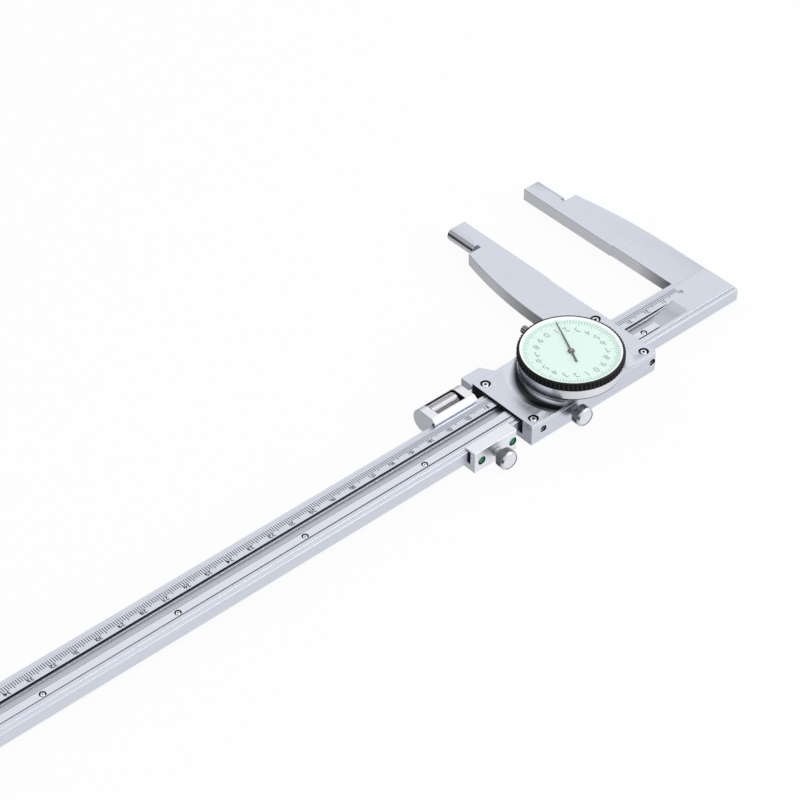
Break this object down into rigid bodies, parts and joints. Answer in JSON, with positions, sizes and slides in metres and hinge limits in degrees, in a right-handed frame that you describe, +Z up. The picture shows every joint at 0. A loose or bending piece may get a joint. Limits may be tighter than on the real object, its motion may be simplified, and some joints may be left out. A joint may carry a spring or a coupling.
{
  "type": "dial caliper",
  "caption": "Long-jaw dial caliper with a geared dial on the slider, a rack in the beam, two thumb-screw clamps and a fine-adjustment carriage with a knurled nut.",
  "frame": {"origin": "on the beam's underside (the flat rest face), at the plane of the fixed jaw's measuring face and on the beam's centre line", "axes": "+X along the beam in the opening direction, -Y along the jaws, +Z up out of the dial"},
  "size_m": [0.6309, 0.1237, 0.0215],
  "materials": {
    "satin_steel": "fine lengthwise satin",
    "satin_chrome": "satin chrome",
    "rack_steel": "ground steel",
    "bright_chrome": "bright turned chrome",
    "black_bezel": "semi-matt black",
    "pale_green_dial": "matt pale green enamel",
    "crystal_clear": "clear",
    "movement_brass": "satin",
    "dark_pointer": "satin black",
    "knurled_chrome": "knurled bright chrome"
  },
  "bodies": {
    "beam": {"beam": "satin_steel", "rack": "rack_steel", "end_stop": "satin_steel"},
    "slider": {"slider_body": "satin_steel", "slider_gib": "rack_steel", "cover_plate": "satin_steel", "dial_case": "bright_chrome", "movement_pillars": "movement_brass", "movement_bridge": "movement_brass", "fine_adjust_rod": "rack_steel"},
    "bezel": {"bezel": "black_bezel", "dial_face": "pale_green_dial", "crystal": "crystal_clear"},
    "bezel_lock": {"bezel_lock_screw": "knurled_chrome"},
    "drive_gear": {"rack_pinion": "rack_steel", "drive_wheel": "movement_brass"},
    "pointer": {"pointer_pinion": "rack_steel", "pointer": "dark_pointer"},
    "slider_clamp": {"slider_clamp_screw": "knurled_chrome"},
    "carriage": {"carriage_body": "satin_chrome", "carriage_gib": "rack_steel"},
    "carriage_clamp": {"carriage_clamp_screw": "knurled_chrome"},
    "nut": {"fine_adjust_nut": "knurled_chrome"}
  },
  "joints": [
    {"name": "slider_slide", "type": "slide", "parent": "beam", "child": "slider", "axis": [1, 0, 0], "range_m": [-0.03515, 0.46485]},
    {"name": "carriage_slide", "type": "slide", "parent": "slider", "child": "carriage", "axis": [1, 0, 0], "range_m": [-0.004, 0.003]},
    {"name": "nut_turn", "type": "hinge", "parent": "carriage", "child": "nut", "pos_m": [0.12225, -0.0168, 0.00355], "axis": [1, 0, 0], "continuous": true},
    {"name": "drive_gear_turn", "type": "hinge", "parent": "slider", "child": "drive_gear", "pos_m": [0.06182, 0.00091, 0.012], "axis": [0, 0, 1], "continuous": true},
    {"name": "pointer_turn", "type": "hinge", "parent": "slider", "child": "pointer", "pos_m": [0.07135, 0.0028, 0.013], "axis": [0, 0, 1], "continuous": true},
    {"name": "bezel_turn", "type": "hinge", "parent": "slider", "child": "bezel", "pos_m": [0.07135, 0.0028, 0.015], "axis": [0, 0, 1], "continuous": true},
    {"name": "bezel_lock_turn", "type": "hinge", "parent": "slider", "child": "bezel_lock", "pos_m": [0.07135, -0.0222, 0.012], "axis": [0, -1, 0], "range_deg": [-45, 360]},
    {"name": "slider_clamp_turn", "type": "hinge", "parent": "slider", "child": "slider_clamp", "pos_m": [0.08275, 0.02, 0.0027], "axis": [0, 1, 0], "range_deg": [-45, 360]},
    {"name": "carriage_clamp_turn", "type": "hinge", "parent": "carriage", "child": "carriage_clamp", "pos_m": [0.12215, 0.019, 0.0021], "axis": [0, 1, 0], "range_deg": [-45, 360]}
  ],
  "couplings": [
    {"joint": "drive_gear_turn", "follows": "slider_slide", "rad_per_m": 628.32},
    {"joint": "pointer_turn", "follows": "slider_slide", "rad_per_m": -3141.6},
    {"joint": "nut_turn", "follows": "carriage_slide", "rad_per_m": 12566}
  ]
}
